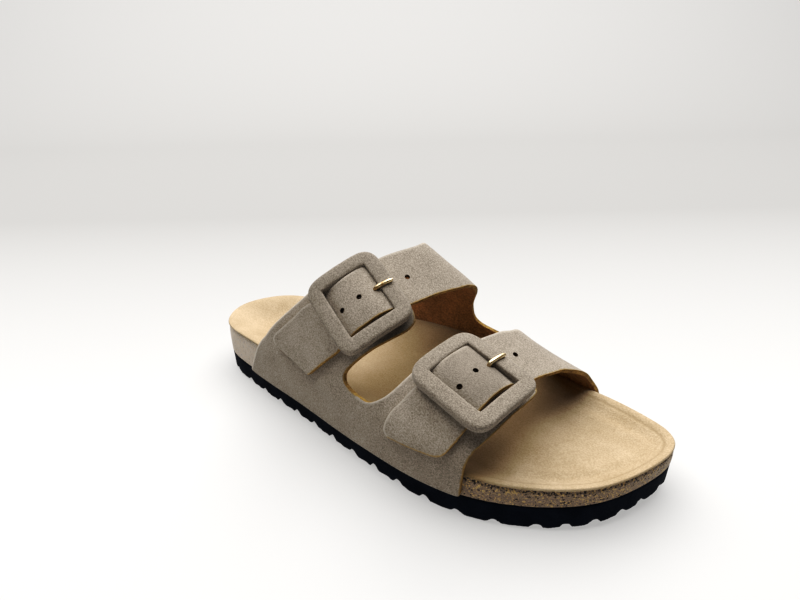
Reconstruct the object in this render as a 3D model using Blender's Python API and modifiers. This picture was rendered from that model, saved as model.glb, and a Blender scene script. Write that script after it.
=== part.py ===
"""Two-strap footbed sandal for the right foot, at its real size.

The tables are in millimetres: x runs forward from the back of the heel, y towards the inner side of
the foot and z up from the floor. The Blender objects are in metres, with the origin on the floor
under the middle of the shoe.
"""
import math

import bmesh
import bpy
import numpy as np
from mathutils import Matrix, Vector

MM = 0.001

# Driving sizes, mm
FIT_GAP = 0.3           # between pieces that meet
STRAP_WALL = 2.2        # lined suede of the straps
COVER_WALL = 1.5        # suede cover of the footbed
SOLE_TUCK = 0.7         # outsole tread inside the edge of its top
LUG_START, LUG_END = 19.6, 232.0
LUG_PITCH = 16.2        # from groove to groove along the outsole
TOE_LUG_PITCH = 12.6    # from notch to notch round the toe and the heel
GROOVE_RADIUS = 2.3
GROOVE_RISE = 0.1       # centre of a groove above the tread
NOTCH_LENGTH = 22.0
FRAME_ACROSS = 39.5     # buckle frame, along the strap
FRAME_ALONG = 44.5      # buckle frame, along the foot
BAR_WIDTH = 7.6
BAR_THICK = 4.6
FRAME_BEND_RADIUS = 80.0
FRAME_CORNER = 6        # superellipse exponent of the frame's outline
BAR_CORNER = 3          # superellipse exponent of a bar's section
PIN_RADIUS = 1.2
PIN_HOLE_RADIUS = 1.7
PIN_HOLE_SET_BACK = 7.0  # from the middle of the inner bar
PIN_HOLE_DROP = 3.2     # middle of the pin hole under the frame's middle
PIN_HOLE_DEPTH = 9.0
WELD = 0.01
SHARP_ANGLE = math.radians(40)

# Plan of the footbed, from the back of the heel round the outer side: x, y
OUTLINE = (
    (0, 0), (13.7, -24), (50, -33), (95, -39.4), (139.5, -46.8), (180.5, -51), (210.8, -46.8),
    (241.4, -30.2), (257.5, -11.5), (267.3, 15.5), (260.8, 31.5), (236, 41.4), (205, 45.8),
    (175, 45.8), (140, 38.9), (100, 32.8), (50, 33.4), (13.9, 25),
)
OUTLINE_STEPS = 24

# Side view of the sole: x, tread, top of the outsole, outer rim and inner rim of the footbed
SOLE = np.array((
    (0, -0.9, 11.5, 29.5, 29.5),
    (30, -2.4, 10.5, 30, 30.5),
    (60, -2.4, 10, 30.5, 32.5),
    (120, -2.4, 9.6, 31, 37),
    (160, -2.4, 10, 27.5, 33),
    (190, -2.4, 10.4, 23.5, 25.5),
    (225, -2.1, 10.8, 21, 22),
    (250, -0.1, 12.6, 21.5, 22),
    (268, 3.5, 14.8, 23, 23),
), float)
TREAD, SOLE_TOP, OUTER_RIM, INNER_RIM = 1, 2, 3, 4

# Hollow of the footbed: x, depth under the rim, width of the slope inside the rim
HOLLOW = np.array((
    (0, 9, 26), (60, 9, 28), (110, 8, 26), (150, 6.5, 20), (190, 4.5, 14), (225, 4.2, 11), (268, 4.2, 11),
), float)

# Last over the foot: x, crest y and z, then how far the curve leans, rises, reaches and drops on the
# outer side, and rises and reaches on the inner side, as shares of its width and height
LAST = np.array((
    (30, 2, 128, 0.09, 0.40, 0.40, 0.10, 0.45, 0.40),
    (80, 5, 119, 0.09, 0.40, 0.40, 0.10, 0.45, 0.40),
    (110, 9, 106, 0.08, 0.42, 0.42, 0.08, 0.45, 0.40),
    (136, 12, 91.3, 0.06, 0.44, 0.45, 0.06, 0.48, 0.38),
    (162, 14, 73.2, 0.04, 0.48, 0.48, 0.03, 0.50, 0.40),
    (190, 13, 57, 0, 0.58, 0.55, 0, 0.25, 0.20),
    (224, 13, 41.2, 0, 0.62, 0.60, 0, 0.32, 0.42),
    (250, 14, 32, 0, 0.62, 0.60, 0, 0.62, 0.55),
), float)

# Girth parameter v of the last: 0 at the outer sole edge, 1 at the inner one
V_OUTER_RIM, V_CREST, V_INNER_RIM = 0.14, 0.55, 0.88

# Panels of the upper, a row for each section across: rear edge x and v, front edge x and v, and the
# lift of the inside above the last. The two outer ears share the rows under their cut-out, and so do
# the two straps on the inner side.
OUTER_SEAM, OUTER_CUT_V = 141, 0.174
BACK_EAR = (
    (44, 0, OUTER_SEAM, 0, 0),
    (49.5, 0.07, OUTER_SEAM, 0.07, 0),
    (55.5, 0.14, OUTER_SEAM, 0.14, 0),
    (64, OUTER_CUT_V, OUTER_SEAM, OUTER_CUT_V, 0),
    (64.4, 0.1755, 136.5, 0.1755, 0),
    (66, 0.183, 132, 0.183, 0),
    (69.5, 0.198, 131, 0.198, 0),
    (75, 0.218, 133, 0.218, 0),
    (82.7, 0.246, 137, 0.246, 0),
    (91.8, 0.284, 142.5, 0.284, 0),
    (101, 0.33, 149, 0.33, 0),
    (109, 0.37, 153.5, 0.372, 0),
    (113, 0.39, 153.5, 0.390, 0),
    (119, 0.402, 149, 0.404, 0),
)
FRONT_EAR = (
    (OUTER_SEAM, 0, 201, 0, 0),
    (OUTER_SEAM, 0.07, 201.4, 0.07, 0),
    (OUTER_SEAM, 0.14, 202, 0.14, 0),
    (OUTER_SEAM, OUTER_CUT_V, 202.4, OUTER_CUT_V, 0),
    (146, 0.1755, 202.4, 0.1755, 0),
    (150, 0.183, 202.6, 0.183, 0),
    (153.6, 0.198, 203, 0.198, 0),
    (157.2, 0.218, 203.7, 0.218, 0),
    (160.7, 0.246, 205.2, 0.246, 0),
    (164, 0.284, 207.5, 0.284, 0),
    (167.5, 0.33, 209.4, 0.33, 0),
    (170.8, 0.38, 211.1, 0.38, 0),
    (174, 0.43, 212.5, 0.436, 0),
    (175.6, 0.452, 211.8, 0.455, 0),
    (179, 0.462, 208, 0.466, 0),
)
INNER_SEAM, INNER_CUT_V = 168, 0.847
BACK_STRAP = (
    (58, 1, INNER_SEAM, 1, 0),
    (64, 0.94, INNER_SEAM, 0.94, 0),
    (71.5, 0.88, INNER_SEAM, 0.88, 0),
    (81, INNER_CUT_V, INNER_SEAM, INNER_CUT_V, 0),
    (82.6, 0.842, 157.5, 0.842, 0),
    (86, 0.83, 152.3, 0.83, 0),
    (91.5, 0.812, 151, 0.812, 0),
    (98, 0.79, 151.2, 0.79, 0),
    (106.5, 0.76, 153, 0.76, 0),
    (116, 0.72, 156, 0.72, 0),
    (127.5, 0.66, 159, 0.66, 0),
    (133.5, 0.6, 160.3, 0.6, 0),
    (134.2, 0.548, 159.7, 0.548, 0),
    (132, 0.51, 157.3, 0.51, 0),
    (128.4, 0.472, 154.4, 0.472, 0.4),
    (124.3, 0.432, 151.2, 0.43, 1.5),
    (121.6, 0.395, 147.5, 0.39, 2.9),
    (116.8, 0.35, 142.5, 0.343, 5.6),
    (110.4, 0.313, 136.8, 0.3, 5.6),
    (98, 0.276, 129.5, 0.255, 4.4),
    (90, 0.243, 123.5, 0.222, 2.8),
    (82.5, 0.215, 116.5, 0.191, 1.6),
    (77.2, 0.196, 111, 0.167, 1.6),
    (75.6, 0.184, 108.8, 0.158, 1.6),
    (78, 0.1735, 107.4, 0.1535, 1.6),
)
FRONT_STRAP = (
    (INNER_SEAM, 1, 225, 1, 0),
    (INNER_SEAM, 0.94, 224.5, 0.94, 0),
    (INNER_SEAM, 0.88, 223, 0.88, 0),
    (INNER_SEAM, INNER_CUT_V, 221.2, INNER_CUT_V, 0),
    (178, 0.842, 221, 0.842, 0),
    (182, 0.83, 220.4, 0.83, 0),
    (183.8, 0.812, 219.8, 0.812, 0),
    (185, 0.785, 219.4, 0.79, 0),
    (186.4, 0.75, 219.3, 0.76, 0),
    (187.5, 0.71, 219.3, 0.72, 0),
    (188.3, 0.66, 218.8, 0.66, 0),
    (188.5, 0.6, 217.6, 0.6, 0.6),
    (188, 0.55, 214.8, 0.55, 0.9),
    (185.5, 0.525, 212.6, 0.522, 1),
    (183.4, 0.492, 209.8, 0.488, 1.4),
    (181, 0.455, 207.6, 0.45, 1.7),
    (180.2, 0.41, 205.4, 0.405, 3),
    (178, 0.36, 203, 0.355, 5.4),
    (175, 0.315, 200.7, 0.312, 5.2),
    (170.6, 0.272, 198.4, 0.272, 4),
    (167.6, 0.237, 197, 0.239, 2.6),
    (164.6, 0.204, 196, 0.22, 1.6),
    (162.8, 0.172, 195, 0.205, 1.6),
    (162.6, 0.154, 193.4, 0.186, 1.6),
    (165, 0.142, 190.6, 0.174, 1.6),
)
PANEL_COLUMNS = 7
STRAP_COLUMNS = 5
STEPS_PER_ROW = 2
GROOVE_SIDES = 10
FRAME_SIDES, BAR_SIDES = 40, 12

# Buckles: name, x and v of the middle, seat above the last, turn, pitch and roll in degrees, and the
# place of the pin from the middle of the frame towards the toes
BUCKLES = (
    ("back", 130.4, 0.343, 9.3, 33, 4, 6, -1.4),
    ("front", 191.6, 0.375, 9.8, 15, -3.5, 6, -1.5),
)
BUCKLE_SPAN_X, BUCKLE_SPAN_V = 4.0, 0.02    # stretch of the last that a buckle takes its axes from

INNER_BAR = (FRAME_ACROSS - BAR_WIDTH) / 2  # from the middle of a frame to the middle of its inner bar

# Side view of a pin: distance from the middle of the inner bar, and height over the frame's middle
PIN_OVER = BAR_THICK / 2 + PIN_RADIUS + 1.5 * FIT_GAP
PIN_PATH = ((-7.2, -3.6), (-6.6, -0.8), (-5.4, 1.8), (-3.2, PIN_OVER), (0, PIN_OVER), (1.6, PIN_OVER - 0.2))


def smooth(at, knots, values):
    """Monotone cubic through the knots, read at the given places."""
    at, knots, values = (np.asarray(a, float) for a in (at, knots, values))
    step = np.diff(knots)
    slope = np.diff(values) / step
    tangent = np.zeros_like(values)
    tangent[0], tangent[-1] = slope[0], slope[-1]
    before, after = slope[:-1], slope[1:]
    same_way = before * after > 0
    total = np.where(same_way, before + after, 1.0)
    tangent[1:-1] = np.where(same_way, 2 * before * after / total, 0.0)
    cell = np.clip(np.searchsorted(knots, at) - 1, 0, len(step) - 1)
    t = np.clip((at - knots[cell]) / step[cell], 0, 1)
    rise = values[cell] * (2 * t**3 - 3 * t**2 + 1) + values[cell + 1] * (3 * t**2 - 2 * t**3)
    return rise + step[cell] * (tangent[cell] * (t**3 - 2 * t**2 + t) + tangent[cell + 1] * (t**3 - t**2))


def read(table, x, column):
    return smooth(x, table[:, 0], table[:, column])


def round_outline():
    """Closed smooth curve through the plan's points."""
    points = np.array(OUTLINE, float)
    before, start = np.roll(points, 1, 0)[:, None], points[:, None]
    end, after = np.roll(points, -1, 0)[:, None], np.roll(points, -2, 0)[:, None]
    t = (np.arange(OUTLINE_STEPS) / OUTLINE_STEPS)[None, :, None]
    curve = 2 * start + (end - before) * t + (2 * before - 5 * start + 4 * end - after) * t**2
    curve = curve + (3 * start - before - 3 * end + after) * t**3
    return (curve / 2).reshape(-1, 2)


EDGE = round_outline()
EDGE = np.roll(EDGE, -EDGE[:, 0].argmin(), 0)
TOE = EDGE[:, 0].argmax()
OUTER_EDGE = EDGE[:TOE + 1]
INNER_EDGE = np.vstack((EDGE[TOE:], EDGE[:1]))[::-1]
HEEL_X, TOE_X = EDGE[0, 0], EDGE[TOE, 0]


def outer_y(x):
    return np.interp(x, OUTER_EDGE[:, 0], OUTER_EDGE[:, 1])


def inner_y(x):
    return np.interp(x, INNER_EDGE[:, 0], INNER_EDGE[:, 1])


def bezier(a, b, c, d, t):
    s = 1 - t
    return s**3 * a + 3 * s * s * t * b + 3 * s * t * t * c + t**3 * d


def last_section(x, v):
    """Inside of the upper: up the side of the sole, over the instep and down the other side."""
    outer, inner = outer_y(x) - FIT_GAP, inner_y(x) + FIT_GAP
    low = read(SOLE, x, SOLE_TOP) + FIT_GAP
    outer_rim, inner_rim = read(SOLE, x, OUTER_RIM), read(SOLE, x, INNER_RIM)
    crest_y, crest_z, lean, rise, reach, drop, in_rise, in_reach = (read(LAST, x, c) for c in range(1, 9))
    up = np.clip(v / V_OUTER_RIM, 0, 1)
    over = np.clip((v - V_OUTER_RIM) / (V_CREST - V_OUTER_RIM), 0, 1)
    back = np.clip((V_INNER_RIM - v) / (V_INNER_RIM - V_CREST), 0, 1)
    down = np.clip((1 - v) / (1 - V_INNER_RIM), 0, 1)
    width, height = crest_y - outer, crest_z - outer_rim
    outer_arch_y = bezier(outer, outer + lean * width, crest_y - reach * width, crest_y, over)
    outer_arch_z = bezier(outer_rim, outer_rim + rise * height, crest_z - drop * height, crest_z, over)
    inner_arch_y = bezier(inner, inner, crest_y + in_reach * (inner - crest_y), crest_y, back)
    inner_arch_z = bezier(inner_rim, inner_rim + in_rise * (crest_z - inner_rim), crest_z, crest_z, back)
    zones = (v <= V_OUTER_RIM, v <= V_CREST, v <= V_INNER_RIM)
    y = np.select(zones, (outer, outer_arch_y, inner_arch_y), inner)
    z_walls = low + up * (outer_rim - low), low + down * (inner_rim - low)
    z = np.select(zones, (z_walls[0], outer_arch_z, inner_arch_z), z_walls[1])
    return np.stack((x, y, z), -1)


def last_normal(x, v, span_x=0.5, span_v=0.002):
    along = last_section(x + span_x, v) - last_section(x - span_x, v)
    around = last_section(x, np.minimum(v + span_v, 1)) - last_section(x, np.maximum(v - span_v, 0))
    normal = np.cross(along, around)
    return normal / np.linalg.norm(normal, axis=-1, keepdims=True)


def last(x, v, lift):
    return last_section(x, v) + last_normal(x, v) * np.asarray(lift)[..., None]


def bed(x, y):
    """Top of the footbed: a hollow inside a raised rim, higher under the arch."""
    rim = read(SOLE, x, OUTER_RIM), read(SOLE, x, INNER_RIM)
    across = np.clip((y - outer_y(x)) / np.maximum(inner_y(x) - outer_y(x), FIT_GAP), 0, 1)
    to_edge = np.linalg.norm(np.stack((x, y), -1)[..., None, :] - EDGE, axis=-1).min(-1)
    t = np.clip(to_edge / read(HOLLOW, x, 2), 0, 1)
    return rim[0] + across * (rim[1] - rim[0]) - read(HOLLOW, x, 1) * t * t * (3 - 2 * t)


def make_material(name, colour, roughness, metallic=0.0):
    material = bpy.data.materials.new(name)
    material.use_nodes = True
    shader = material.node_tree.nodes["Principled BSDF"]
    shader.inputs["Base Color"].default_value = (*colour, 1.0)
    shader.inputs["Roughness"].default_value = roughness
    shader.inputs["Metallic"].default_value = metallic
    return material


def add_object(name, bm, collection, material=None):
    mesh = bpy.data.meshes.new(name)
    bm.to_mesh(mesh)
    bm.free()
    mesh.shade_smooth()
    mesh.set_sharp_from_angle(angle=SHARP_ANGLE)
    piece = bpy.data.objects.new(name, mesh)
    collection.objects.link(piece)
    if material:
        mesh.materials.append(material)
    else:
        piece.hide_render = True
        piece.display_type = "WIRE"
    return piece


def add_boolean(piece, other, operation):
    modifier = piece.modifiers.new(other.name, "BOOLEAN")
    modifier.operation = operation
    modifier.object = other
    modifier.use_self = True


def place(bm, verts, points):
    for vert, point in zip(verts, np.asarray(points) * MM):
        vert.co = point


def add_grid(bm, columns, rows):
    """New flat grid in bm, with each vertex's share of the way along its columns and rows."""
    verts = bmesh.ops.create_grid(bm, x_segments=columns, y_segments=rows, size=0.5)["verts"]
    shares = np.array([vert.co for vert in verts])[:, :2] + 0.5
    return verts, shares[:, 0], shares[:, 1]


def add_panel(bm, table, columns):
    """Lay a grid on the last between a panel's rear and front edges."""
    rows = np.array(table, float)
    last_row = len(rows) - 1
    verts, across, along = add_grid(bm, columns, last_row * STEPS_PER_ROW)
    at = along * last_row
    rear_x, rear_v, front_x, front_v, lift = (smooth(at, np.arange(last_row + 1), c) for c in rows.T)
    x, v = rear_x + across * (front_x - rear_x), rear_v + across * (front_v - rear_v)
    place(bm, verts, last(x, v, lift))


def make_side(name, panels, columns, collection, material, outward):
    """Two panels welded under their cut-out, thickened to the strap's wall."""
    bm = bmesh.new()
    for table in panels:
        add_panel(bm, table, columns)
    bmesh.ops.remove_doubles(bm, verts=bm.verts, dist=WELD * MM)
    side = add_object(name, bm, collection, material)
    shell = side.modifiers.new("wall", "SOLIDIFY")
    shell.thickness = STRAP_WALL * MM
    shell.offset = outward
    shell.use_even_offset = True
    return side


def add_plate(bm, columns, rows, tuck, under, over):
    """Closed plate with the sole's plan, between an underside and a top that depend on x and y."""
    verts, along, across = add_grid(bm, columns, rows)
    x = HEEL_X + (TOE_X - HEEL_X) * (1 - np.cos(math.pi * along)) / 2
    share = (1 - np.cos(math.pi * across)) / 2
    y = outer_y(x) + share * (inner_y(x) - outer_y(x))
    place(bm, verts, np.column_stack((x, y, over(x, y))))
    lowered = bmesh.ops.extrude_face_region(bm, geom=bm.faces[:])["geom"]
    bottoms = [item for item in lowered if isinstance(item, bmesh.types.BMVert)]
    top = np.array([vert.co for vert in bottoms]) / MM
    middle = np.array(((HEEL_X + TOE_X) / 2, 0.0))
    narrow = 1 - 2 * tuck / np.array((TOE_X - HEEL_X, np.ptp(EDGE[:, 1])))
    plan = middle + (top[:, :2] - middle) * narrow
    place(bm, bottoms, np.column_stack((plan, under(top[:, 0], top[:, 1]))))
    bmesh.ops.remove_doubles(bm, verts=bm.verts, dist=WELD * MM)
    bmesh.ops.dissolve_degenerate(bm, edges=bm.edges, dist=WELD * MM)
    bmesh.ops.recalc_face_normals(bm, faces=bm.faces)


def tread(x, y):
    return read(SOLE, x, TREAD)


def sole_top(x, y):
    return read(SOLE, x, SOLE_TOP)


def cork_under(x, y):
    return sole_top(x, y) + FIT_GAP


def cork_top(x, y):
    return bed(x, y) - COVER_WALL - FIT_GAP


def cover_under(x, y):
    return bed(x, y) - COVER_WALL


def add_groove(bm, x, y, direction, length):
    at = Vector((x, y, float(read(SOLE, x, TREAD)) + GROOVE_RISE)) * MM
    lie = Vector((0, 0, 1)).rotation_difference(Vector((*direction, 0))).to_matrix().to_4x4()
    radius = GROOVE_RADIUS * MM
    bmesh.ops.create_cone(
        bm, cap_ends=True, segments=GROOVE_SIDES, radius1=radius, radius2=radius, depth=length * MM,
        matrix=Matrix.Translation(at) @ lie)


def make_grooves(collection):
    """Round-bottomed grooves across the tread, and notches that follow the toe and the heel."""
    bm = bmesh.new()
    for x in np.arange(LUG_START, LUG_END, LUG_PITCH):
        add_groove(bm, x, 0, (0, 1), 2 * np.ptp(EDGE[:, 1]))
    steps = np.roll(EDGE, -1, 0) - EDGE
    travelled = np.cumsum(np.linalg.norm(steps, axis=1))
    for mark in np.arange(0, travelled[-1], TOE_LUG_PITCH):
        at = travelled.searchsorted(mark)
        x, y = EDGE[at]
        if not LUG_START - LUG_PITCH / 2 < x < LUG_END + LUG_PITCH / 4:
            inward = np.array((-steps[at, 1], steps[at, 0])) / np.linalg.norm(steps[at])
            add_groove(bm, x, y, inward, NOTCH_LENGTH)
    return add_object("groove_cutter", bm, collection)


def buckle_pose(x, v, seat, turn, pitch, roll):
    """Axes of a buckle: x towards the toes, y along the strap and z out from the foot."""
    x, v = np.array(float(x)), np.array(float(v))
    out = Vector(last_normal(x, v, BUCKLE_SPAN_X, BUCKLE_SPAN_V))
    across = Vector(last_section(x, v + BUCKLE_SPAN_V) - last_section(x, v - BUCKLE_SPAN_V))
    across = (across - out * across.dot(out)).normalized()
    axes = Matrix((across.cross(out), across, out)).transposed().to_4x4()
    tilt = Matrix.Rotation(math.radians(pitch), 4, "Y") @ Matrix.Rotation(math.radians(-roll), 4, "X")
    turned = Matrix.Rotation(math.radians(-turn), 4, "Z")
    return Matrix.Translation(Vector(last(x, v, seat)) * MM) @ axes @ tilt @ turned


def frame_height(across):
    """Bend of a frame over the foot, at a distance from its middle."""
    return -across * across / (2 * FRAME_BEND_RADIUS)


def power(value, exponent):
    return math.copysign(abs(value) ** exponent, value)


def make_frame(name, pose, collection, material):
    """Rounded rectangular ring with a padded section, bent over the foot."""
    bm = bmesh.new()
    ring_radius = 2.0
    upright = Matrix.Translation((ring_radius, 0, 0)) @ Matrix.Rotation(math.pi / 2, 4, "X")
    bmesh.ops.create_circle(bm, segments=BAR_SIDES, radius=1.0, matrix=upright)
    bmesh.ops.spin(
        bm, geom=bm.verts[:] + bm.edges[:], cent=(0, 0, 0), axis=(0, 0, 1), angle=2 * math.pi,
        steps=FRAME_SIDES, use_merge=True)
    half_across, half_along = (FRAME_ACROSS - BAR_WIDTH) / 2, (FRAME_ALONG - BAR_WIDTH) / 2
    for vert in bm.verts:
        around = math.atan2(vert.co.y, vert.co.x)
        section = Vector((vert.co.xy.length - ring_radius, vert.co.z)).normalized()
        out = power(section.x, 2 / BAR_CORNER) * BAR_WIDTH / 2
        up = power(section.y, 2 / BAR_CORNER) * BAR_THICK / 2
        middle = Vector((power(math.cos(around), 2 / FRAME_CORNER) * half_along,
                         power(math.sin(around), 2 / FRAME_CORNER) * half_across))
        slope = Vector((power(middle.x / half_along, FRAME_CORNER - 1) / half_along,
                        power(middle.y / half_across, FRAME_CORNER - 1) / half_across))
        x, y = middle + slope.normalized() * out
        vert.co = Vector((x, y, up + frame_height(y))) * MM
    bmesh.ops.recalc_face_normals(bm, faces=bm.faces)
    frame = add_object(name, bm, collection, material)
    frame.matrix_world = pose
    return frame


def make_pin(name, pose, offset, collection, material):
    """Prong that comes up through the strap and lies over the frame's inner bar."""
    curve = bpy.data.curves.new(name, "CURVE")
    curve.dimensions = "3D"
    curve.bevel_depth = PIN_RADIUS * MM
    curve.bevel_resolution = 2
    curve.use_fill_caps = True
    spline = curve.splines.new("POLY")
    spline.points.add(len(PIN_PATH) - 1)
    for point, (from_bar, up) in zip(spline.points, PIN_PATH):
        across = INNER_BAR + from_bar
        point.co = (offset * MM, across * MM, (up + frame_height(across)) * MM, 1)
    pin = bpy.data.objects.new(name, curve)
    curve.materials.append(material)
    collection.objects.link(pin)
    pin.matrix_world = pose
    return pin


def make_pin_hole(name, pose, offset, collection):
    bm = bmesh.new()
    at = Vector((offset, INNER_BAR - PIN_HOLE_SET_BACK, -PIN_HOLE_DROP)) * MM
    radius = PIN_HOLE_RADIUS * MM
    bmesh.ops.create_cone(
        bm, cap_ends=True, segments=BAR_SIDES, radius1=radius, radius2=radius, depth=PIN_HOLE_DEPTH * MM,
        matrix=Matrix.Translation(at))
    hole = add_object(name, bm, collection)
    hole.matrix_world = pose
    return hole


def stand_on_origin(pieces):
    """Parent the pieces to an empty that brings the middle of their underside to the origin."""
    bpy.context.view_layer.update()
    graph = bpy.context.evaluated_depsgraph_get()
    corners = []
    for piece in pieces:
        if not piece.hide_render:
            mesh = piece.evaluated_get(graph).to_mesh()
            corners += [piece.matrix_world @ vert.co for vert in mesh.vertices]
    corners = np.array(corners)
    low, high = corners.min(0), corners.max(0)
    anchor = bpy.data.objects.new("sandal_origin", None)
    bpy.context.scene.collection.objects.link(anchor)
    for piece in pieces:
        piece.parent = anchor
    anchor.location = (-(low[0] + high[0]) / 2, -(low[1] + high[1]) / 2, -low[2])


def main():
    for old in list(bpy.data.objects):
        bpy.data.objects.remove(old)
    parts, cutters = (bpy.data.collections.new(name) for name in ("sandal", "cutters"))
    for collection in (parts, cutters):
        bpy.context.scene.collection.children.link(collection)
    suede = make_material("taupe_suede", (0.23, 0.19, 0.155), 0.9)
    tan = make_material("tan_suede", (0.62, 0.46, 0.28), 0.9)
    cork = make_material("cork", (0.28, 0.19, 0.12), 0.8)
    foam = make_material("black_foam", (0.006, 0.008, 0.014), 0.6)
    brass = make_material("brass", (0.72, 0.52, 0.28), 0.3, 1.0)

    soles = (
        ("outsole", 40, 8, SOLE_TUCK, tread, sole_top, foam),
        ("footbed", 36, 12, 0, cork_under, cork_top, cork),
        ("insole", 36, 12, 0, cover_under, bed, tan),
    )
    pieces = []
    for name, columns, rows, tuck, under, over, material in soles:
        bm = bmesh.new()
        add_plate(bm, columns, rows, tuck, under, over)
        pieces.append(add_object(name, bm, parts, material))
    grooves = make_grooves(cutters)
    add_boolean(pieces[0], grooves, "DIFFERENCE")

    upper = make_side("upper", (BACK_EAR, FRONT_EAR), PANEL_COLUMNS, parts, suede, 1)
    straps = make_side("inner_side", (BACK_STRAP, FRONT_STRAP), STRAP_COLUMNS, cutters, None, -1)
    add_boolean(upper, straps, "UNION")
    pieces += [grooves, upper, straps]
    for name, x, v, seat, turn, pitch, roll, pin_place in BUCKLES:
        pose = buckle_pose(x, v, seat, turn, pitch, roll)
        hole = make_pin_hole(f"{name}_pin_hole", pose, pin_place, cutters)
        add_boolean(upper, hole, "DIFFERENCE")
        frame = make_frame(f"buckle_{name}_frame", pose, parts, suede)
        pin = make_pin(f"buckle_{name}_pin", pose, pin_place, parts, brass)
        pieces += [hole, frame, pin]
    stand_on_origin(pieces)


main()
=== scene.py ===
# %% [markdown]
# # A buckled cork sandal, dressed for its picture
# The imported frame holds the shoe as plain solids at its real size. This lesson keeps every one of them in
# its place and lays the finished surfaces over them: remeshed foam, crumbly cork, brushed suede, cut edges
# and brass. The shoe's tables are in millimetres, as a shoemaker would write them. Places in materials and
# in the studio are in metres, as Blender gives them.

import math

import bmesh
import bpy
import numpy as np
from mathutils import Matrix, Vector


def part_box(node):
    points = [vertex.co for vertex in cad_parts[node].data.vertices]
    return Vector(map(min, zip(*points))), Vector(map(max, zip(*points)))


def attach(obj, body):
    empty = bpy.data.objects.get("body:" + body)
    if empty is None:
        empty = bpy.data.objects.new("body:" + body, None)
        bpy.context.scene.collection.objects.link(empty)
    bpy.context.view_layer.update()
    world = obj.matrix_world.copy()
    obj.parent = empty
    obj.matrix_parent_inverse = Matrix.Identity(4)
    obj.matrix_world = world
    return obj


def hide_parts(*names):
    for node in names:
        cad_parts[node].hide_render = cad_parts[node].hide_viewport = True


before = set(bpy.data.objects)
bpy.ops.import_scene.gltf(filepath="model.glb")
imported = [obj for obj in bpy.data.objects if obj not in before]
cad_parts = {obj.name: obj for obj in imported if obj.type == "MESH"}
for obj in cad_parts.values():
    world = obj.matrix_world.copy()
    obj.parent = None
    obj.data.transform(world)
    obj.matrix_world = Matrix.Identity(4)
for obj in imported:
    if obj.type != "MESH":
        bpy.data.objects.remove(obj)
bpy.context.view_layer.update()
MM = 0.001
print("nodes in the frame:", ", ".join(sorted(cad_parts)))

# %% [markdown]
# ## The plan of the sole
# A footbed has one outline that every layer shares. Eighteen points and a smooth closed curve through them
# are enough. The heel end of this curve lies where the frame's insole begins, and that gives the step from
# the shoemaker's millimetres, counted from the back of the heel, to the frame's metres.

# %% Outline and the step into the frame
OUTLINE = (
    (0, 0), (13.7, -24), (50, -33), (95, -39.4), (139.5, -46.8), (180.5, -51), (210.8, -46.8),
    (241.4, -30.2), (257.5, -11.5), (267.3, 15.5), (260.8, 31.5), (236, 41.4), (205, 45.8),
    (175, 45.8), (140, 38.9), (100, 32.8), (50, 33.4), (13.9, 25),
)
OUTLINE_STEPS = 24


def round_outline():
    """Closed smooth curve through the plan's points."""
    points = np.array(OUTLINE, float)
    before, start = np.roll(points, 1, 0)[:, None], points[:, None]
    end, after = np.roll(points, -1, 0)[:, None], np.roll(points, -2, 0)[:, None]
    t = (np.arange(OUTLINE_STEPS) / OUTLINE_STEPS)[None, :, None]
    curve = 2 * start + (end - before) * t + (2 * before - 5 * start + 4 * end - after) * t**2
    curve = curve + (3 * start - before - 3 * end + after) * t**3
    return (curve / 2).reshape(-1, 2)


EDGE = round_outline()
EDGE = np.roll(EDGE, -EDGE[:, 0].argmin(), 0)
TOE = EDGE[:, 0].argmax()
OUTER_EDGE = EDGE[:TOE + 1]
INNER_EDGE = np.vstack((EDGE[TOE:], EDGE[:1]))[::-1]
HEEL_X, TOE_X = EDGE[0, 0], EDGE[TOE, 0]
TREAD_Z = -2.4          # the tread in the shoemaker's heights
insole_low = np.array(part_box("insole")[0])
STEP = np.array((insole_low[0] - HEEL_X * MM, insole_low[1] - EDGE[:, 1].min() * MM, -TREAD_Z * MM))


def to_frame(points):
    """Shoemaker's millimetres to the frame's metres."""
    return np.asarray(points, float) * MM + STEP


print("the heel starts at", STEP.round(4), "in the frame")

# %% [markdown]
# ## The camera
# The picture was taken from the toe end of the outer side, a little above, with a wide lens close by. The
# camera comes first, because every later choice of detail is judged through it.

# %% Camera
CAMERA_AT = (305.8, -222.6, 193.2)
AZIMUTH, ELEVATION, ROLL = (math.radians(a) for a in (38.2, 24.2, -1.22))
FOCAL_PX, IMAGE_WIDTH_PX, SENSOR = 600, 800, 36.0

camera_data = bpy.data.cameras.new("camera")
camera_data.sensor_width = SENSOR
camera_data.lens = SENSOR * FOCAL_PX / IMAGE_WIDTH_PX
camera_data.clip_start = 0.01
camera = bpy.data.objects.new("camera", camera_data)
bpy.context.scene.collection.objects.link(camera)
bpy.context.scene.camera = camera
back = Vector((math.sin(AZIMUTH) * math.cos(ELEVATION), -math.cos(AZIMUTH) * math.cos(ELEVATION),
               math.sin(ELEVATION)))
level = Vector((math.cos(AZIMUTH), math.sin(AZIMUTH), 0))
rise = back.cross(level)
right = level * math.cos(ROLL) + rise * math.sin(ROLL)
turn = Matrix((right, back.cross(right), back)).transposed().to_4x4()
camera.matrix_world = Matrix.Translation(Vector(to_frame(CAMERA_AT))) @ turn
print("camera lens:", round(camera_data.lens, 1), "mm")

# %% [markdown]
# ## Node helpers
# A material is a small graph. One helper makes a node, sets its values and links the sockets that it is
# given, so that each material below reads as a list of what it is made of. The Mix node keeps a set of
# sockets for each kind of value, all with the same names, so those go by number.

# %% Helpers for shader nodes
MIX_SOCKETS = {
    # share, first, second and result
    "FLOAT": (0, 2, 3, 0),
    "VECTOR": (0, 4, 5, 1),
    "RGBA": (0, 6, 7, 2),
}


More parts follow.
